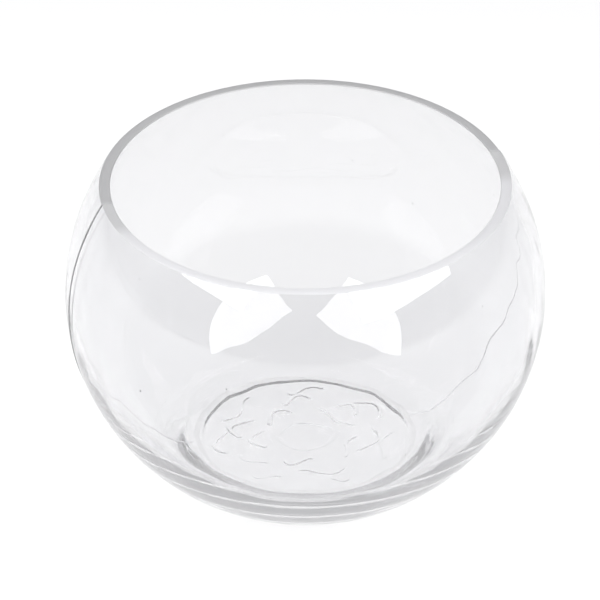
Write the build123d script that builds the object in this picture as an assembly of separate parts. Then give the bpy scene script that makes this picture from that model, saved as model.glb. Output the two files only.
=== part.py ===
from build123d import *
from math import asin, degrees, sqrt
import os

# Round open bowl of clear soda-lime glass, blown in a two-part mould that closes on a base plate.
# It is one piece of glass, so the model is one node.
# Frame: origin at the middle of the resting plane, +Z up through the mouth, millimetres.

# Driving dimensions
BELLY_RADIUS = 75.0       # outside radius at the widest level
BELLY_LEVEL = 62.4        # height of the widest level above the table
LOWER_HEIGHT = 72.5       # half height of the ellipse that shapes the wall below the belly
RIM_LEVEL = 102.0         # height of the ground rim
RIM_RADIUS = 63.4         # outside radius of the rim
BELLY_WALL = 3.0          # thickness of the wall at the belly
RIM_WALL = 3.2            # thickness of the wall at the rim, measured level
RIM_ARRIS = 0.3           # small bevel on both edges of the ground rim

FLOOR_LEVEL = 10.0        # height of the cavity's floor at its middle
CAVITY_LOWER_HEIGHT = 66.0  # half height of the ellipse that shapes the cavity below the belly
CAVITY_FLOOR_FILLET = 16.0  # radius between the cavity's wall and its floor

HEEL_FILLET = 6.0         # radius between the outer wall and the resting ring
BEARING_INNER_RADIUS = 34.5  # inner edge of the flat ring that the bowl rests on
PUSH_UP_SLOPE = 2.4       # how far the step from the ring to the push-up runs inwards
PUSH_UP_EDGE = 0.5        # height of the push-up at its edge
PUSH_UP_MIDDLE = 1.2      # height of the push-up at its middle

PARTING_AZIMUTH = 14.8    # direction in which the mould's parting plane runs, in degrees from +X
PARTING_OFFSET = 3.5      # how far the parting plane lies from the bowl's axis, to the +Y side
MOULD_SLIP = 0.3          # how far one mould half slid past the other along that plane
SEAM_HEIGHT = 0.25        # how far the parting line stands proud of the wall
SEAM_WIDTH = 0.7          # width of the parting line

RELIEF_HEIGHT = 0.5       # how far the ribs stand down from the push-up
RELIEF_WIDTH = 0.9        # width of a rib
RELIEF_ROOT = 0.4         # how far a rib is sunk into the glass above it
CENTRE_RING_RADIUS = 9.0  # radius of the closed ring in the middle
RIB_ROWS = [(16.0, 5, 46.0), (22.5, 6, 38.0), (28.0, 7, 30.0)]  # radius, count and angle of each rib

BEYOND = 5.0              # how far a cutting shape reaches past the face that it opens


def half_height(rise, end_radius, widest_radius):
    """Half height of the ellipse that is widest_radius wide and end_radius wide at that rise."""
    return rise / sqrt(1 - (end_radius / widest_radius) ** 2)


def quarter(widest_radius, height, rise):
    """Elliptical side of a wall from the belly up, or down where rise is negative."""
    turn = degrees(asin(rise / height))
    return EllipticalCenterArc((0, BELLY_LEVEL), widest_radius, height, start_angle=min(turn, 0.0),
                               arc_size=abs(turn))


def nearest_vertex(face, x, y):
    """The corner of a flat outline that is closest to a point of its plane."""
    return face.vertices().sort_by_distance(Vector(x, y, 0))[0]


def outer_outline(grow=0.0):
    """Right half of the bowl's outer section, from the axis to the wall, pushed out by grow."""
    rise = RIM_LEVEL - BELLY_LEVEL
    upper = quarter(BELLY_RADIUS + grow, half_height(rise, RIM_RADIUS + grow, BELLY_RADIUS + grow), rise)
    lower = quarter(BELLY_RADIUS + grow, LOWER_HEIGHT + grow, -BELLY_LEVEL)
    heel = lower.position_at(0)
    side = Polyline((heel.X, 0), (0, 0), (0, RIM_LEVEL), (RIM_RADIUS + grow, RIM_LEVEL))
    face = make_face([lower, upper, side])
    face = fillet(nearest_vertex(face, heel.X, 0), HEEL_FILLET + grow)
    return fillet(nearest_vertex(face, RIM_RADIUS + grow, RIM_LEVEL), RIM_ARRIS)


def turned(outline, arc=360.0, start=0.0):
    """A flat outline turned about the bowl's axis, through arc degrees from the start azimuth."""
    return Rot(0, 0, start) * revolve(Plane.XZ * outline, axis=Axis.Z, revolution_arc=arc)


def parting_plane(shift=0.0):
    """The plane where the mould halves meet, moved by shift towards the back half."""
    backwards = Vector(0, 1, 0).rotate(Axis.Z, PARTING_AZIMUTH)
    return Plane(backwards * (PARTING_OFFSET + shift), x_dir=along_parting(), z_dir=backwards)


def along_parting(distance=1.0):
    """A level vector along the parting plane."""
    return Vector(distance, 0, 0).rotate(Axis.Z, PARTING_AZIMUTH)


def mould_halves():
    """The solid outside of the bowl: two half bodies that slid past each other by MOULD_SLIP."""
    body = turned(outer_outline())
    front = split(body, parting_plane(), keep=Keep.BOTTOM)
    back = split(body, parting_plane(), keep=Keep.TOP)
    return Pos(*along_parting(MOULD_SLIP / 2)) * front + Pos(*along_parting(-MOULD_SLIP / 2)) * back


def parting_lines():
    """Thin upright ridge that the glass forms round the bowl where the mould halves meet."""
    swollen = split(turned(outer_outline(SEAM_HEIGHT)), parting_plane(-SEAM_WIDTH / 2), keep=Keep.TOP)
    slab = split(swollen, parting_plane(SEAM_WIDTH / 2), keep=Keep.BOTTOM)
    return slab


def cavity():
    """Everything inside the bowl, open at the top."""
    rise = RIM_LEVEL - BELLY_LEVEL - RIM_ARRIS
    widest = BELLY_RADIUS - BELLY_WALL
    mouth = RIM_RADIUS - RIM_WALL
    upper = quarter(widest, half_height(rise, mouth, widest), rise)
    lower = quarter(widest, CAVITY_LOWER_HEIGHT, FLOOR_LEVEL - BELLY_LEVEL)
    corner = lower.position_at(0)
    lip = RIM_LEVEL - RIM_ARRIS
    reach = BEYOND + RIM_ARRIS
    top = lip + reach
    side = Polyline((corner.X, FLOOR_LEVEL), (0, FLOOR_LEVEL), (0, top), (mouth + reach, top), (mouth, lip))
    face = make_face([lower, upper, side])
    face = fillet(nearest_vertex(face, corner.X, FLOOR_LEVEL), CAVITY_FLOOR_FILLET)
    return turned(face)


def push_up():
    """Shallow dish under the base, so that the bowl stands on a narrow ring."""
    edge = BEARING_INNER_RADIUS - PUSH_UP_SLOPE
    dome = ThreePointArc((-edge, PUSH_UP_EDGE), (0, PUSH_UP_MIDDLE), (edge, PUSH_UP_EDGE))
    half_dome = dome.trim(0.5, 1.0)
    side = Polyline((edge, PUSH_UP_EDGE), (BEARING_INNER_RADIUS, 0), (BEARING_INNER_RADIUS, -BEYOND),
                    (0, -BEYOND), (0, PUSH_UP_MIDDLE))
    return turned(make_face([half_dome, side]))


def push_up_level(radius):
    """Height of the push-up's surface at a radius."""
    edge = BEARING_INNER_RADIUS - PUSH_UP_SLOPE
    return PUSH_UP_MIDDLE - (PUSH_UP_MIDDLE - PUSH_UP_EDGE) * (radius / edge) ** 2


def rib(radius, arc=360.0, start=0.0):
    """Raised rib of the base relief, round part of a circle."""
    level = push_up_level(radius)
    section = Pos(radius, level + (RELIEF_ROOT - RELIEF_HEIGHT) / 2)
    return turned(section * Rectangle(RELIEF_WIDTH, RELIEF_HEIGHT + RELIEF_ROOT), arc, start)


def relief():
    """Plain pattern under the base: a ring, and three staggered rows of short curved ribs."""
    ribs = [rib(CENTRE_RING_RADIUS)]
    for radius, count, arc in RIB_ROWS:
        pitch = 360.0 / count
        ribs += [rib(radius, arc, PARTING_AZIMUTH + pitch * (turn + 0.5)) for turn in range(count)]
    return ribs


def glass_bowl():
    """The whole bowl as one solid."""
    body = mould_halves()
    body += parting_lines()
    body -= cavity()
    body -= push_up()
    for one_rib in relief():
        body += one_rib
    return body


parts = {"glass_bowl": glass_bowl()}

os.makedirs("parts", exist_ok=True)
for name, solid in parts.items():
    export_step(solid, f"parts/{name}.step")
    size = solid.bounding_box().size
    print(f"{name}: {len(solid.solids())} solid, {solid.volume / 1000:.1f} cm3,",
          f"{size.X:.2f} x {size.Y:.2f} x {size.Z:.2f} mm, valid {solid.is_valid}")
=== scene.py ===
# %% [markdown]
# A round glass bowl, the bait bowl of an insect trap, on a white studio floor.
# The engineering model comes first, as a fixed frame. It says where the bowl stands and how large it is.
# Everything below is built around it, in metres, and nothing here moves or resizes it.

# %% Load the frame
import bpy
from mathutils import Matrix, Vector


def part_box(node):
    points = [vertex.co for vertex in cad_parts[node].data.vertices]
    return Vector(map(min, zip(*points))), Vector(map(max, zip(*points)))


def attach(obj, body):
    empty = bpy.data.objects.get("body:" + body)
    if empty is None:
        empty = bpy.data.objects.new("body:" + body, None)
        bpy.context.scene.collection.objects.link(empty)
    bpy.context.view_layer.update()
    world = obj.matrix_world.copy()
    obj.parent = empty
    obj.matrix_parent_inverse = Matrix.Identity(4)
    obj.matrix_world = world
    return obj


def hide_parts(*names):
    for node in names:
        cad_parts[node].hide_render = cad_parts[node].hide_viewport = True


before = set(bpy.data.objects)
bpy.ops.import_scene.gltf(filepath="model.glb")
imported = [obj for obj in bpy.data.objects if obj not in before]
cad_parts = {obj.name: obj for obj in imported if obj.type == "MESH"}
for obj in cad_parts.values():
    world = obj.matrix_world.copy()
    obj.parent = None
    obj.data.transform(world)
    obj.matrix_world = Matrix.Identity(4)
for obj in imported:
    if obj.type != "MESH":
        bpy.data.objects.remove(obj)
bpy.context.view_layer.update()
print("nodes in the frame:", sorted(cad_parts))

# %% [markdown]
# Glass sizes are talked about in millimetres and Blender works in metres, so one factor turns one into the
# other. The frame's box gives the height of the bowl. Its other sizes are those of the section: an ellipse
# above the belly, a second one below it, and the same again, a wall's thickness further in, for the cavity.

# %% Driving sizes
from math import asin, atan2, cos, hypot, pi, radians, sin, sqrt

import bmesh
import bpy
import numpy as np
from mathutils import Vector, noise

MM = 0.001
lowest, highest = (Vector(corner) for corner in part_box("glass_bowl"))
RIM_LEVEL = highest.z - lowest.z
BELLY_RADIUS = 75.0 * MM
BELLY_LEVEL = 62.4 * MM
LOWER_HEIGHT = 72.5 * MM
RIM_RADIUS = 63.4 * MM
RIM_ARRIS = 0.3 * MM
HEEL_FILLET = 6.0 * MM
CAVITY_RADIUS = 72.0 * MM
CAVITY_LOWER_HEIGHT = 66.0 * MM
MOUTH_RADIUS = 60.2 * MM
FLOOR_LEVEL = 10.0 * MM
FLOOR_FILLET = 16.0 * MM
RING_RADIUS = 34.5 * MM
PUSH_UP_SLOPE = 2.4 * MM
PUSH_UP_EDGE = 0.5 * MM
PUSH_UP_MIDDLE = 1.2 * MM
print(f"height {RIM_LEVEL / MM:.1f} mm, belly {2 * BELLY_RADIUS / MM:.0f} mm across")

# %% [markdown]
# The bowl is a body of revolution, as a blown vessel is: its mould is turned on a lathe. In Blender that
# could be a curve with a Screw modifier. Here the points are worked out in code, because the mould's
# faults, which make moulded glass look real, have to be added point by point afterwards.
# A wall's outline is three pieces: the round corner at its foot, the lower ellipse and the upper one.

# %% Outline of a wall
def half_height(rise, end_radius, widest_radius):
    """Half height of an ellipse of half width widest_radius that has narrowed to end_radius at that rise."""
    return rise / sqrt(1 - (end_radius / widest_radius) ** 2)


def on_ellipse(widest, height, turn):
    """Radius and level of a point of a wall's ellipse, turn radians up from the belly."""
    return widest * cos(turn), BELLY_LEVEL + height * sin(turn)


def corner_centre(widest, height, fillet, turn):
    """Centre of the foot's round corner that meets the ellipse at turn, and the direction to that point."""
    r, z = on_ellipse(widest, height, turn)
    out, up = cos(turn) / widest, sin(turn) / height
    length = hypot(out, up)
    return r - fillet * out / length, z - fillet * up / length, atan2(up, out)


def foot_turn(widest, height, fillet, foot_level):
    """The turn at which a corner that rests on foot_level touches the ellipse, found by halving."""
    low_turn, high_turn = 0.01 - pi / 2, 0.0
    for _ in range(50):
        middle = (low_turn + high_turn) / 2
        if corner_centre(widest, height, fillet, middle)[1] < foot_level + fillet:
            low_turn = middle
        else:
            high_turn = middle
    return low_turn


def wall(widest, lower_height, upper_height, foot_level, fillet, top_level, counts):
    """Points (radius, level) up a wall, from the flat at its foot to its top."""
    start = foot_turn(widest, lower_height, fillet, foot_level)
    r, z, end = corner_centre(widest, lower_height, fillet, start)
    turns = np.linspace(-pi / 2, end, counts[0])
    corner = [(r + fillet * cos(turn), z + fillet * sin(turn)) for turn in turns]
    lower = [on_ellipse(widest, lower_height, turn) for turn in np.linspace(start, 0, counts[1])[1:]]
    stop = asin((top_level - BELLY_LEVEL) / upper_height)
    upper = [on_ellipse(widest, upper_height, turn) for turn in np.linspace(0, stop, counts[2])[1:]]
    return corner + lower + upper


# %% [markdown]
# The section runs once round the glass: from the middle of the underside, over the ring that it stands on,
# up the outside, across the ground rim, down the inside and back to the axis. The underside and the lower
# outside get the most points, because the relief and the ripples of the mould are there.

# %% Section of the glass
AXIS_GAP = 0.4 * MM  # the rows start this far from the axis, and one point closes the middle
CENTRE_REACH = 8 * MM
RELIEF_REACH = 30.5 * MM
RING_OVERLAP = 1.5 * MM
OUTER_ROWS = (9, 64, 26)  # along the corner, the lower ellipse and the upper one
INNER_ROWS = (12, 26, 18)

lip = RIM_LEVEL - RIM_ARRIS
rise = RIM_LEVEL - BELLY_LEVEL
outer_top = half_height(rise, RIM_RADIUS, BELLY_RADIUS)
inner_top = half_height(rise - RIM_ARRIS, MOUTH_RADIUS, CAVITY_RADIUS)


def under_level(radius):
    """Level of the push-up under the base."""
    edge = RING_RADIUS - PUSH_UP_SLOPE
    dome = PUSH_UP_MIDDLE - (PUSH_UP_MIDDLE - PUSH_UP_EDGE) * np.minimum(radius / edge, 1) ** 2
    fall = np.clip((radius - edge) / PUSH_UP_SLOPE, 0, 1)
    return dome * (1 - fall * fall * (3 - 2 * fall))


under_radii = np.concatenate([np.linspace(AXIS_GAP, CENTRE_REACH, 10)[:-1],
                              np.linspace(CENTRE_REACH, RELIEF_REACH, 78)[:-1],
                              np.linspace(RELIEF_REACH, RING_RADIUS + RING_OVERLAP, 18)])
under = [(radius, under_level(radius)) for radius in under_radii]
outer = wall(BELLY_RADIUS, LOWER_HEIGHT, outer_top, 0.0, HEEL_FILLET, lip, OUTER_ROWS)
rim = [(RIM_RADIUS - RIM_ARRIS, RIM_LEVEL), (MOUTH_RADIUS + RIM_ARRIS, RIM_LEVEL)]
inner = wall(CAVITY_RADIUS, CAVITY_LOWER_HEIGHT, inner_top, FLOOR_LEVEL, FLOOR_FILLET, lip, INNER_ROWS)[::-1]
floor_inside = [(radius, FLOOR_LEVEL) for radius in np.linspace(inner[-1][0], AXIS_GAP, 10)[1:]]
stretches = {"under": under, "outer": outer, "rim": rim, "inner": inner, "floor": floor_inside}
section = np.array([point for stretch in stretches.values() for point in stretch])
belongs = np.array([name for name, stretch in stretches.items() for _ in stretch])
print("rows of the section:", {name: len(stretch) for name, stretch in stretches.items()})

# %% [markdown]
# Two mould halves close on each other along an upright plane, which here misses the bowl's axis by a few
# millimetres. The glass shows where: a thin raised line runs up each side, and the front half has slipped
# sideways, so one side has a small step out and the other a small step in.
# The columns of the mesh follow the parting line and stand close together there, so that it comes out thin.

# %% Columns round the bowl
PARTING_AZIMUTH = radians(14.8)
PARTING_OFFSET = 3.5 * MM
EVEN_COLUMNS = 336
BESIDE_SEAM = np.radians([-0.9, -0.6, -0.4, -0.25, -0.12, 0, 0.12, 0.25, 0.4, 0.6, 0.9])
CLEAR_OF_SEAM = radians(0.95)

even = np.linspace(0, 2 * pi, EVEN_COLUMNS, endpoint=False) + PARTING_AZIMUTH
seam_columns = np.concatenate([PARTING_AZIMUTH + half * pi + BESIDE_SEAM for half in (0, 1)])
gap = np.abs((even[:, None] - PARTING_AZIMUTH + pi / 2) % pi - pi / 2)[:, 0]
columns = np.sort(np.concatenate([even[gap > CLEAR_OF_SEAM], seam_columns]))
AROUND = len(columns)


def seam_swing(radius):
    """How far the parting plane's azimuth turns from its direction at a radius, as it misses the axis."""
    swing = np.arcsin(PARTING_OFFSET / np.maximum(radius, RING_RADIUS))
    return swing * np.minimum(radius / RING_RADIUS, 1)


RADII = np.repeat(section[:, :1], AROUND, axis=1)
LEVELS = np.repeat(section[:, 1:], AROUND, axis=1)
FROM_SEAM = np.repeat(columns[None] - PARTING_AZIMUTH, len(section), axis=0)
print("columns round the bowl:", AROUND, "quads:", AROUND * (len(section) - 1))

# %% [markdown]
# Slow waves in glass come from a gob that cooled unevenly, and fine ripples from a chilled mould surface.
# Both are smooth noise, read at points on the bowl so that it closes on itself, with the scale of each wave
# in millimetres. An image or a displacement modifier could do it, but plain noise in code gives the same
# mesh each time. The seed of a wave only picks a place in the noise, so that no two waves are alike.

# %% Smooth noise over the bowl
def waves(x, y, z, across, upright, seed):
    """Smooth noise from about -1 to 1, with waves that are across wide and upright tall."""
    places = zip((x / across).flat, (y / across).flat, (z / upright + seed).flat)
    return np.array([noise.noise(place) for place in places]).reshape(x.shape)


def fade(value, start, end):
    """0 up to start, 1 from end on, and smooth between."""
    share = np.clip((value - start) / (end - start), 0, 1)
    return share * share * (3 - 2 * share)


is_outer = (belongs == "outer")[:, None]
is_inner = np.isin(belongs, ["inner", "floor"])[:, None]
is_under = (belongs == "under")[:, None]
is_rim = (belongs == "rim")[:, None]

# %% [markdown]
# The parting line isn't straight all the way: low on the wall, where the mould was worn, it wanders. The
# columns near it are swung by the wander, the others hardly move, and the line keeps to its columns.

# %% Let the parting line wander
SEAM_WANDER = 2.0 * MM
SEAM_WANDER_LENGTH = 10 * MM
WANDER_TOP = 56 * MM
WANDER_SPREAD = 0.25  # sine of the angle from the parting line at which the wander has faded to a third
EACH_SIDE = (40 * MM, 10 * MM)  # the two sides read the noise at places this far from its middle

swing = seam_swing(RADII) * np.cos(FROM_SEAM)
side = np.where(np.cos(FROM_SEAM) > 0, 1.0, -1.0)
wander = waves(side * EACH_SIDE[0], side * EACH_SIDE[1], LEVELS, SEAM_WANDER_LENGTH, SEAM_WANDER_LENGTH, 3.7)
wander *= SEAM_WANDER / np.maximum(RADII, RING_RADIUS) * (1 - fade(LEVELS, 0.6 * WANDER_TOP, WANDER_TOP))
wander *= np.exp(-(np.sin(FROM_SEAM) / WANDER_SPREAD) ** 2) * is_outer
print(f"parting line wanders up to {np.abs(wander * RADII).max() / MM:.2f} mm")

# %% [markdown]
# Each point now gets its place, and the direction in which the surface faces there. The faults that follow
# push the points a little along that direction.

# %% Place the points
azimuth = PARTING_AZIMUTH + FROM_SEAM + swing + wander
X = RADII * np.cos(azimuth)
Y = RADII * np.sin(azimuth)
Z = LEVELS.copy()
tangents = np.gradient(section, axis=0)
tangents /= np.linalg.norm(tangents, axis=1)[:, None]
OUT = tangents[:, 1:] * np.ones(AROUND)
UP = -tangents[:, :1] * np.ones(AROUND)


def push(amount):
    """Moves each point along the surface's normal, away from the glass."""
    global X, Y, Z
    X = X + amount * OUT * np.cos(azimuth)
    Y = Y + amount * OUT * np.sin(azimuth)
    Z = Z + amount * UP


print("points:", X.size)

# %% [markdown]
# Ripples: on the lower outside they are short up the wall and long round it, a few hundredths of a
# millimetre deep, which is enough to draw streaks in the dark band of the base. The outside is only ever
# cut back, never swollen, so the bowl stays inside its true size. The inside has slow waves and a few long
# upright draws of the blown glass.

# %% Ripples and slow waves
RIPPLE_DEPTH = 0.012 * MM
OUTER_WAVE_DEPTH = 0.08 * MM
INNER_WAVE = 0.07 * MM
DRAW_WAVE = 0.05 * MM
RIPPLES = [(1.0, 24 * MM, 2.6 * MM, 11.3), (0.6, 9 * MM, 1.5 * MM, 5.9)]  # share, across, upright and seed
OUTER_WAVES = [(1.0, 21 * MM, 17 * MM, 40.1), (0.5, 9 * MM, 8 * MM, 23.7)]
INNER_WAVES = [(1.0, 24 * MM, 20 * MM, 71.9), (0.5, 11 * MM, 9 * MM, 55.3)]
DRAWS = [(1.0, 6 * MM, 70 * MM, 90.7)]


def layered(layers):
    """The sum of a few layers of waves over the bowl."""
    return sum(share * waves(X, Y, Z, across, upright, seed) for share, across, upright, seed in layers)


low_wall = 1 - fade(LEVELS, 22 * MM, 44 * MM)
off_the_foot = fade(LEVELS, 0.3 * MM, 2.5 * MM)
below_rim = 1 - fade(LEVELS, 96 * MM, 101 * MM)
cut = RIPPLE_DEPTH * (1.4 + layered(RIPPLES)) * low_wall + OUTER_WAVE_DEPTH * (1.2 + layered(OUTER_WAVES)) / 2
push(-cut * off_the_foot * below_rim * is_outer)
draws = layered(DRAWS) * fade(LEVELS, 30 * MM, 50 * MM)
push((INNER_WAVE * layered(INNER_WAVES) + DRAW_WAVE * draws) * below_rim * is_inner)
print(f"outside cut back by at most {(cut * is_outer).max() / MM:.3f} mm")

# %% [markdown]
# The slip moves each mould half along the parting plane, a fraction of a millimetre each way, and the hot
# glass rounded the step off. The raised line is what squeezed into the gap between the halves. Where it
# crosses the rim, the grinding tore a small notch.

# %% Mould slip and parting line
MOULD_SLIP = 0.15 * MM
SEAM_HEIGHT = 0.15 * MM
SEAM_HALF_WIDTH = 0.35 * MM
STEP_HALF_WIDTH = 0.8 * MM
NOTCH_DEPTH = 0.2 * MM
NOTCH_HALF_WIDTH = 0.9 * MM

to_seam = RADII * np.sin(FROM_SEAM)
front = 1 - 2 * fade(to_seam, -STEP_HALF_WIDTH, STEP_HALF_WIDTH)
ridge = np.cos(np.clip(to_seam / SEAM_HALF_WIDTH, -1, 1) * pi / 2) ** 2
push(SEAM_HEIGHT * ridge * off_the_foot * is_outer)
outside = is_outer | (RADII > RIM_RADIUS - 1.1 * RIM_ARRIS) & is_rim
X = X + front * MOULD_SLIP / 2 * cos(PARTING_AZIMUTH) * outside
Y = Y + front * MOULD_SLIP / 2 * sin(PARTING_AZIMUTH) * outside
notch = np.cos(np.clip(to_seam / NOTCH_HALF_WIDTH, -1, 1) * pi / 2) ** 2
Z = Z - NOTCH_DEPTH * notch * is_rim
print(f"steps at the parting line: {MOULD_SLIP / MM:.2f} mm, raised line: {SEAM_HEIGHT / MM:.2f} mm high")

# %% [markdown]
# Under the base is a raised pattern: a ring in the middle and three rows of short curved ribs. It is a
# plain pattern of no meaning. On real glass such relief is soft, because it is pressed into a cooling skin,
# so each rib here wavers, fades at its ends and has its own height, and the back left, where the glass met
# the plate first, is deepest.

# %% Relief under the base
RIB_ROWS = [(16.0 * MM, 5, 46), (22.5 * MM, 6, 38), (28.0 * MM, 7, 30)]
RIB_WIDTH = 1.5 * MM
RIB_HEIGHT = 0.5 * MM
RIB_WAVER = 2.2 * MM
DEEP_SIDE = radians(150)
draw = np.random.default_rng(8)
relief = np.zeros_like(RADII)


def rib(radius, middle, length, height, phase):
    """Height of one soft, wavering rib at each point under the base."""
    along = (azimuth - middle + pi) % (2 * pi) - pi
    reach = length / 2
    line = radius + RIB_WAVER * np.sin(2.6 * along / reach + phase)
    share = 1 - fade(np.abs(RADII - line), 0.35 * RIB_WIDTH, 0.75 * RIB_WIDTH)
    ends = 1 - fade(np.abs(along), 0.8 * reach, 1.05 * reach)
    return height * share * ends


for radius, count, arc in RIB_ROWS:
    for turn in range(count):
        middle = PARTING_AZIMUTH + 2 * pi / count * (turn + 0.5) + draw.uniform(-0.12, 0.12)
        length = radians(arc) * draw.uniform(0.7, 1.25)
        height = RIB_HEIGHT * draw.uniform(0.3, 1.0) * (0.8 - 0.2 * cos(middle - DEEP_SIDE - pi))
        relief = np.maximum(relief, rib(radius, middle, length, height, draw.uniform(0, 2 * pi)))
print(f"ribs: {sum(row[1] for row in RIB_ROWS)}, highest {relief[is_under[:, 0]].max() / MM:.2f} mm")

# %% [markdown]
# The ring in the middle is lower and rounder than the ribs. The glass under the base is wavy, and the inner
# edge of the ring that the bowl stands on is uneven, because the plate was cooler in some places than in
# others.

# %% Ring in the middle and waves under the base
CENTRE_RING_RADIUS = 9.0 * MM
CENTRE_RING_HEIGHT = 0.3 * RIB_HEIGHT
CENTRE_RING_WAVER = 0.5 * MM
RING_UNEVENNESS = 1.0 * MM
BASE_WAVE = 0.10 * MM

ring_line = CENTRE_RING_RADIUS + CENTRE_RING_WAVER * waves(X, Y, Z, 9 * MM, 9 * MM, 1.9)
ring_share = np.cos(np.clip((RADII - ring_line) / RIB_WIDTH, -1, 1) * pi / 2) ** 2
relief = np.maximum(relief, CENTRE_RING_HEIGHT * ring_share)
uneven = RING_UNEVENNESS * waves(X, Y, 0 * Z, 9 * MM, 9 * MM, 14.6) * fade(RADII, 27 * MM, 31 * MM)
Z = np.where(is_under, under_level(RADII + uneven) - relief, Z)
base_wave = BASE_WAVE * waves(X, Y, Z, 8 * MM, 8 * MM, 31.1) * (1 - fade(RADII, 28 * MM, 32 * MM))
Z = Z + base_wave * is_under
print(f"lowest point under the push-up: {Z[:len(under)][under_radii < RELIEF_REACH].min() / MM:.2f} mm")

# %% [markdown]
# Seed bubbles are small pockets of gas in the glass, a fraction of a millimetre across. Each is a little
# closed ball inside the wall whose faces look inwards, so that Blender takes it for a hole in the glass and
# not for more glass.

# %% Seed bubbles
BUBBLE_COUNT = 14
BUBBLE_RADIUS = 0.22 * MM
BUBBLE_RINGS = 5
BUBBLE_SIDES = 8
BUBBLE_LEVELS = (34, 96)  # lowest and highest, in millimetres


def bubble(centre, radius, tall):
    """Points and inward faces of a small ball, drawn out by tall up the wall."""
    points = [centre + Vector((0, 0, -radius * tall))]
    for ring in range(1, BUBBLE_RINGS):
        turn = pi * ring / BUBBLE_RINGS
        for step in range(BUBBLE_SIDES):
            spin = 2 * pi * step / BUBBLE_SIDES
            points.append(centre + Vector((radius * sin(turn) * cos(spin), radius * sin(turn) * sin(spin),
                                           -radius * tall * cos(turn))))
    points.append(centre + Vector((0, 0, radius * tall)))
    last = len(points) - 1
    faces = []
    for step in range(BUBBLE_SIDES):
        after = (step + 1) % BUBBLE_SIDES
        faces.append((0, 1 + after, 1 + step))
        for ring in range(BUBBLE_RINGS - 2):
            first = 1 + ring * BUBBLE_SIDES
            above = first + BUBBLE_SIDES
            faces.append((first + step, first + after, above + after, above + step))
        top = 1 + (BUBBLE_RINGS - 2) * BUBBLE_SIDES
        faces.append((last, top + step, top + after))
    return points, [face[::-1] for face in faces]


def mid_wall(level, spin):
    """A point half way through the wall."""
    upper = level > BELLY_LEVEL
    high_out, high_in = (outer_top, inner_top) if upper else (LOWER_HEIGHT, CAVITY_LOWER_HEIGHT)
    outside = BELLY_RADIUS * sqrt(1 - ((level - BELLY_LEVEL) / high_out) ** 2)
    inside = CAVITY_RADIUS * sqrt(1 - ((level - BELLY_LEVEL) / high_in) ** 2)
    middle = (outside + inside) / 2
    return Vector((middle * cos(spin), middle * sin(spin), level))


# %% [markdown]
# Neighbouring rows and columns of points are joined by four-cornered faces, and a fan of triangles closes
# the middle of the underside and of the floor. The bubbles go into the same mesh.

# %% Join the points
points = np.stack([X, Y, Z], axis=2).reshape(-1, 3).tolist()
rows = len(section)
faces = []
for row in range(rows - 1):
    for column in range(AROUND):
        after = (column + 1) % AROUND
        faces.append((row * AROUND + column, row * AROUND + after, (row + 1) * AROUND + after,
                      (row + 1) * AROUND + column))
under_middle, floor_middle = len(points), len(points) + 1
points += [[0, 0, float(Z[0].mean())], [0, 0, float(Z[-1].mean())]]
last_row = (rows - 1) * AROUND
for column in range(AROUND):
    after = (column + 1) % AROUND
    faces.append((under_middle, after, column))
    faces.append((floor_middle, last_row + column, last_row + after))
for _ in range(BUBBLE_COUNT):
    centre = mid_wall(draw.uniform(*BUBBLE_LEVELS) * MM, draw.uniform(0, 2 * pi))
    ball, ball_faces = bubble(centre, BUBBLE_RADIUS * draw.uniform(0.5, 1.3), draw.uniform(1.0, 1.6))
    first = len(points)
    points += [list(point) for point in ball]
    faces += [tuple(first + corner for corner in face) for face in ball_faces]
print("points:", len(points), "faces:", len(faces))

# %% [markdown]
# All of it becomes one closed mesh. It is shaded smooth, except at steep edges and where the ground bevel
# meets the outside: that edge is shallow, but grinding leaves it clean.

# %% Build the mesh
STEEP = radians(32)

mesh = bpy.data.meshes.new("moulded_bowl")
mesh.from_pydata(points, [], faces)
mesh.update()
mesh.polygons.foreach_set("use_smooth", [True] * len(mesh.polygons))
mesh.set_sharp_from_angle(angle=STEEP)
lip_start = np.flatnonzero(belongs == "outer")[-1] * AROUND
for edge in mesh.edges:
    if all(lip_start <= corner < lip_start + AROUND for corner in edge.vertices):
        edge.use_edge_sharp = True
bowl = bpy.data.objects.new("moulded_bowl", mesh)
bpy.context.scene.collection.objects.link(bowl)

# %% [markdown]
# The mesh is checked for holes. Then the frame is told which body the bowl rides on, and the engineering
# node that it replaces is hidden.

# %% Check the mesh and tell the frame
checker = bmesh.new()
checker.from_mesh(mesh)
open_edges = sum(not edge.is_manifold for edge in checker.edges)
print(f"glass: {checker.calc_volume(signed=True) * 1e6:.1f} cm3, open edges: {open_edges}")
checker.free()
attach(bowl, "root")
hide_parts("glass_bowl")

# %% [markdown]
# Colours are easiest to name as on a screen, in sRGB hex, and Blender's shaders want linear light, so one
# function turns one into the other. A second one adds a node with its settings and links, and it is the
# only helper for nodes.

# %% Helpers for materials
def linear(hex_colour):
    """An sRGB colour such as "#d8dcdb" as linear red, green, blue and alpha."""
    shares = [int(hex_colour[start:start + 2], 16) / 255 for start in (1, 3, 5)]
    light = [share / 12.92 if share <= 0.04045 else ((share + 0.055) / 1.055) ** 2.4 for share in shares]
    return light + [1.0]


def add_node(tree, kind, settings=None, **links):
    """Adds a node, sets its properties and inputs by name or number, and links sockets: "_1" is input 1."""
    node = tree.nodes.new(kind)
    for name, value in (settings or {}).items():
        if isinstance(name, str) and hasattr(node, name):
            setattr(node, name, value)
        else:
            node.inputs[name].default_value = value
    for name, socket in links.items():
        key = int(name[1:]) if name[1:].isdigit() else name.replace("_", " ")
        tree.links.new(socket, node.inputs[key])
    return node


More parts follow.
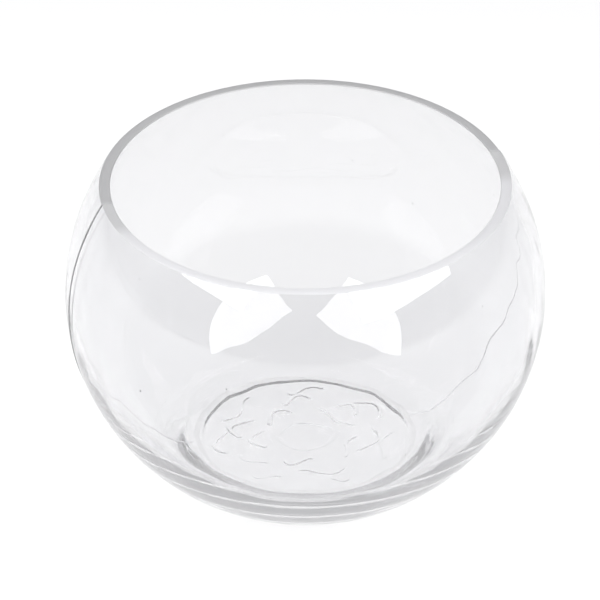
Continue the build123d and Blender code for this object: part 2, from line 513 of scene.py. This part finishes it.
# %% [markdown]
# Clear soda-lime glass, blown in a mould: what bowls, jars and windows are made of. Its IOR is about 1.52
# and its surface is fire-bright, so roughness is nothing. The iron in it takes a little light each time a
# ray goes in or out. A volume that absorbs would be truer, but a ray that leaves through the rim's own
# material would stay dark. Light that reaches the floor through glass is hard to find for a path tracer, so
# shadow rays and soft bounces see a thin pane instead, which lets light through as glass does head-on and
# less at a slant.
# Blown glass isn't quite flat either: it has weak, wide bumps that glassmakers call orange peel.

# %% Clear soda-lime glass
GLASS_IOR = 1.52
ORANGE_PEEL_SIZE = 8 * MM
ORANGE_PEEL_DEPTH = 0.004 * MM
PANE_CLEARNESS = 0.985
PANE_CLEARNESS_ASLANT = 0.6


def soda_lime_glass(name, body_hex, clearness, roughness, grain, grain_depth):
    """Glass whose body shows body_hex where it isn't clear, with a bumpy surface of that grain."""
    material = bpy.data.materials.new(name)
    material.use_nodes = True
    tree = material.node_tree
    tree.nodes.clear()
    place = add_node(tree, "ShaderNodeTexCoord")
    bumps = {"Scale": 1 / grain, "Detail": 2.0}
    peel = add_node(tree, "ShaderNodeTexNoise", bumps, Vector=place.outputs["Object"])
    depth = {"Strength": 1.0, "Distance": grain_depth}
    bump = add_node(tree, "ShaderNodeBump", depth, Height=peel.outputs[0])
    settings = {"Base Color": linear(body_hex), "IOR": GLASS_IOR, "Transmission Weight": clearness,
                "Roughness": roughness}
    body = add_node(tree, "ShaderNodeBsdfPrincipled", settings, Normal=bump.outputs[0])
    slant = add_node(tree, "ShaderNodeLayerWeight", {"Blend": 0.5})
    steep = add_node(tree, "ShaderNodeMath", {"operation": "POWER", 1: 5.0}, _0=slant.outputs["Facing"])
    panes = {"To Min": PANE_CLEARNESS, "To Max": PANE_CLEARNESS_ASLANT}
    clear = add_node(tree, "ShaderNodeMapRange", panes, Value=steep.outputs[0])
    pane = add_node(tree, "ShaderNodeBsdfTransparent", Color=clear.outputs["Result"])
    path = add_node(tree, "ShaderNodeLightPath")
    shadow = add_node(tree, "ShaderNodeMixShader", _0=path.outputs["Is Shadow Ray"], _1=body.outputs[0],
                      _2=pane.outputs[0])
    soft = add_node(tree, "ShaderNodeMixShader", _0=path.outputs["Is Diffuse Ray"], _1=shadow.outputs[0],
                    _2=pane.outputs[0])
    add_node(tree, "ShaderNodeOutputMaterial", Surface=soft.outputs[0])
    return material


mesh.materials.append(soda_lime_glass("clear_soda_lime_glass", "#f7f7f8", 1.0, 0.0, ORANGE_PEEL_SIZE,
                                      ORANGE_PEEL_DEPTH))
print("glass:", mesh.materials[0].name)

# %% [markdown]
# The rim was cut flat and ground with fine grit, which leaves a satin grey band, and both of its edges were
# bevelled with the same grit. Grit of a twentieth of a millimetre is too fine to show, so it is drawn four
# times as coarse. Satin glass scatters light, so most of it is a plain pale body here. Its grey is painted
# light and shade: lighter at the front, where the rim sees the white floor through the clear glass, darker
# at the sides, and darkest over the back half, where it sees the shaded room.

# %% Ground rim, with painted light and shade
GRIT = 0.2 * MM
GRIT_DEPTH = 0.01 * MM
# The rim's three greys are painted light and shade: lighter at the front, darker at the sides, darkest at the
# back.
RIM_FRONT_PAINTED_LIGHT = "#b0b0b2"
RIM_SIDES_PAINTED_SHADE = "#9e9e9f"
RIM_BACK_PAINTED_SHADE = "#919192"
RIM_PAINTED_SHADE_RAMP = [(-40 * MM, RIM_FRONT_PAINTED_LIGHT), (-16 * MM, RIM_FRONT_PAINTED_LIGHT), (-10 * MM, RIM_SIDES_PAINTED_SHADE),
            (3.4 * MM, RIM_SIDES_PAINTED_SHADE), (3.7 * MM, RIM_BACK_PAINTED_SHADE)]  # distance behind the bowl's axis, and shade
RIM_PAINTED_SHADE_REACH = 50 * MM

rim_glass_with_painted_shade = soda_lime_glass("ground_glass_rim_with_painted_shade", RIM_BACK_PAINTED_SHADE, 0.2, 0.4, GRIT, GRIT_DEPTH)
tree = rim_glass_with_painted_shade.node_tree
# The ramp paints the rim's light and shade by how far behind the bowl's axis each point lies.
place = add_node(tree, "ShaderNodeTexCoord")
backwards = Vector((-sin(PARTING_AZIMUTH), cos(PARTING_AZIMUTH), 0))
project = {"operation": "DOT_PRODUCT", 1: backwards}
behind = add_node(tree, "ShaderNodeVectorMath", project, _0=place.outputs["Object"])
reach = {"From Min": -RIM_PAINTED_SHADE_REACH, "From Max": RIM_PAINTED_SHADE_REACH}
share = add_node(tree, "ShaderNodeMapRange", reach, Value=behind.outputs["Value"])
ramp = add_node(tree, "ShaderNodeValToRGB", Fac=share.outputs["Result"])
stops = ramp.color_ramp.elements
while len(stops) < len(RIM_PAINTED_SHADE_RAMP):
    stops.new(0.5)
for stop, (distance, shade) in zip(stops, RIM_PAINTED_SHADE_RAMP):
    stop.position = (distance + RIM_PAINTED_SHADE_REACH) / (2 * RIM_PAINTED_SHADE_REACH)
    stop.color = linear(shade)
tree.links.new(ramp.outputs[0], tree.nodes["Principled BSDF"].inputs["Base Color"])
mesh.materials.append(rim_glass_with_painted_shade)
print("stops of the grinding's ramp:", len(stops))

# %% [markdown]
# The faces of the rim and of its two bevels get the ground glass. They are all the faces that lie above the
# lower edge of the bevels.

# %% Give the rim its ground glass
levels = np.array([vertex.co.z for vertex in mesh.vertices])
on_top = levels > RIM_LEVEL - 1.1 * RIM_ARRIS
ground_faces = 0
for face in mesh.polygons:
    if all(on_top[corner] for corner in face.vertices):
        face.material_index = 1
        ground_faces += 1
print("ground faces:", ground_faces)

# %% [markdown]
# The glass that squeezed between the mould halves is crinkled, where everything round it is fire-bright, so
# the parting line shows as a thin grey thread. It is the middle strip of the raised line.

# %% Parting line
THREAD = radians(0.27)
mesh.materials.append(soda_lime_glass("crinkled_parting_line_glass", "#c0c0c2", 0.7, 0.2, GRIT, GRIT_DEPTH))
on_line = np.abs((columns - PARTING_AZIMUTH + pi / 2) % pi - pi / 2) < THREAD
strip = np.flatnonzero(on_line & np.roll(on_line, -1))
for row in np.flatnonzero(is_outer[:-1, 0]):
    for column in strip:
        mesh.polygons[row * AROUND + column].material_index = 2
print("columns of the parting line:", len(strip))

# %% [markdown]
# The floor is white paper, set together with the lights so that it comes out as pure white. In a catalogue
# the ground is often cut out to pure white afterwards, while the glass still shows the real, slightly
# greyer paper. A Light Path node gives both: the camera sees the white paper, and all other rays, such as
# those that come through the glass, see the grey one.

# %% White floor
WHITE_ALBEDO = 0.59
REAL_ALBEDO = 0.56
FLOOR_SIZE = 6.0

bpy.ops.mesh.primitive_plane_add(size=FLOOR_SIZE)
paper = bpy.context.object
paper.name = "studio_floor"
white = bpy.data.materials.new("matt_white_paper")
white.use_nodes = True
tree = white.node_tree
tree.nodes.clear()
cut_out = add_node(tree, "ShaderNodeBsdfDiffuse", {"Color": [WHITE_ALBEDO] * 3 + [1.0]})
real = add_node(tree, "ShaderNodeBsdfDiffuse", {"Color": [REAL_ALBEDO] * 3 + [1.0]})
path = add_node(tree, "ShaderNodeLightPath")
both = add_node(tree, "ShaderNodeMixShader", _0=path.outputs["Is Camera Ray"], _1=real.outputs[0],
                _2=cut_out.outputs[0])
add_node(tree, "ShaderNodeOutputMaterial", Surface=both.outputs[0])
paper.data.materials.append(white)
print(f"floor: {FLOOR_SIZE:.0f} m wide, albedo {WHITE_ALBEDO} to the camera and {REAL_ALBEDO} to other rays")

# %% [markdown]
# Two softboxes stand left and right, in front of the bowl and above it. Their reflections in the inside of
# the back wall are the bright four-cornered patches. On a set, black cards keep the lamps from shining
# through the glass to the camera. Here the lamps are simply hidden from rays that have just come out of
# glass, which keeps the low edges grey.

# %% Softboxes
BELLY_CENTRE = Vector((0, 0, BELLY_LEVEL))
SOFTBOX_DISTANCE = 1.8
SOFTBOX_WIDTH = 1.76
SOFTBOX_HEIGHT = 1.46
SOFTBOX_RADIANCE = 4.5
BLENDER_AREA_FACTOR = 4  # an area light's watts are its radiance times its area times this


def softbox(name, azimuth, elevation):
    """A light that faces the bowl, azimuth degrees to the right of the front and elevation degrees up."""
    light = bpy.data.lights.new(name, "AREA")
    light.shape = "RECTANGLE"
    light.size = SOFTBOX_WIDTH
    light.size_y = SOFTBOX_HEIGHT
    light.energy = SOFTBOX_RADIANCE * BLENDER_AREA_FACTOR * SOFTBOX_WIDTH * SOFTBOX_HEIGHT
    stand = bpy.data.objects.new(name, light)
    across, up = radians(azimuth), radians(elevation)
    towards = Vector((sin(across) * cos(up), -cos(across) * cos(up), sin(up)))
    stand.location = BELLY_CENTRE + towards * SOFTBOX_DISTANCE
    stand.rotation_euler = towards.to_track_quat("Z", "Y").to_euler()
    stand.visible_transmission = False
    bpy.context.scene.collection.objects.link(stand)


softbox("softbox_right", 53, 38.5)
softbox("softbox_left", -57, 43.6)
print(f"softboxes: {SOFTBOX_WIDTH} x {SOFTBOX_HEIGHT} m, {SOFTBOX_DISTANCE} m from the bowl")

# %% [markdown]
# The room behind the lights is a white tent in shade, a little lighter near the floor. It shows in the
# glass as the grey of the rim and the base.

# %% Room
ROOM_HEX = "#b4b4b6"
HORIZON_HEX = "#c4c4c6"
HORIZON_TOP = 0.02  # as the sine of the angle above the floor
ROOM_START = 0.10

world = bpy.data.worlds.new("studio_room")
bpy.context.scene.world = world
world.use_nodes = True
tree = world.node_tree
tree.nodes.clear()
place = add_node(tree, "ShaderNodeTexCoord")
parts = add_node(tree, "ShaderNodeSeparateXYZ", Vector=place.outputs["Generated"])
ramp = add_node(tree, "ShaderNodeValToRGB", Fac=parts.outputs["Z"])
ramp.color_ramp.elements[0].position = HORIZON_TOP
ramp.color_ramp.elements[0].color = linear(HORIZON_HEX)
ramp.color_ramp.elements[1].position = ROOM_START
ramp.color_ramp.elements[1].color = linear(ROOM_HEX)
backdrop = add_node(tree, "ShaderNodeBackground", Color=ramp.outputs[0])
add_node(tree, "ShaderNodeOutputWorld", Surface=backdrop.outputs[0])
print("room:", ROOM_HEX, "and near the floor:", HORIZON_HEX)

# %% [markdown]
# A camera at some distance with a long lens, which looks down at about a third of a right angle, sees the
# mouth, the wall and the base at once. It aims a little beside the belly's centre.
# Light bounces many times inside a rim and a base of glass, and with the usual few bounces they turn black,
# so the limits are raised.

# %% Camera
CAMERA_ELEVATION = radians(32.8)
CAMERA_DISTANCE = 20 * BELLY_RADIUS
FRAME_IN_RADII = 2.501  # width of the view at the belly, in belly radii
AIM_RIGHT, AIM_UP = -0.0223, -0.0396  # from the belly's centre, in belly radii
BOUNCES = 64

lens = bpy.data.cameras.new("camera")
lens.lens = lens.sensor_width * CAMERA_DISTANCE / (FRAME_IN_RADII * BELLY_RADIUS)
lens.clip_start = 10 * MM
camera = bpy.data.objects.new("camera", lens)
bpy.context.scene.collection.objects.link(camera)
towards = Vector((0, -cos(CAMERA_ELEVATION), sin(CAMERA_ELEVATION)))
upwards = Vector((0, sin(CAMERA_ELEVATION), cos(CAMERA_ELEVATION)))
aim = BELLY_CENTRE + BELLY_RADIUS * (AIM_RIGHT * Vector((1, 0, 0)) + AIM_UP * upwards)
camera.location = aim + towards * CAMERA_DISTANCE
camera.rotation_euler = towards.to_track_quat("Z", "Y").to_euler()
scene = bpy.context.scene
scene.camera = camera
scene.view_settings.view_transform = "Standard"
scene.cycles.max_bounces = BOUNCES
scene.cycles.glossy_bounces = BOUNCES
scene.cycles.transmission_bounces = BOUNCES
scene.cycles.transparent_max_bounces = BOUNCES
print(f"lens {lens.lens:.0f} mm at {CAMERA_DISTANCE:.2f} m")
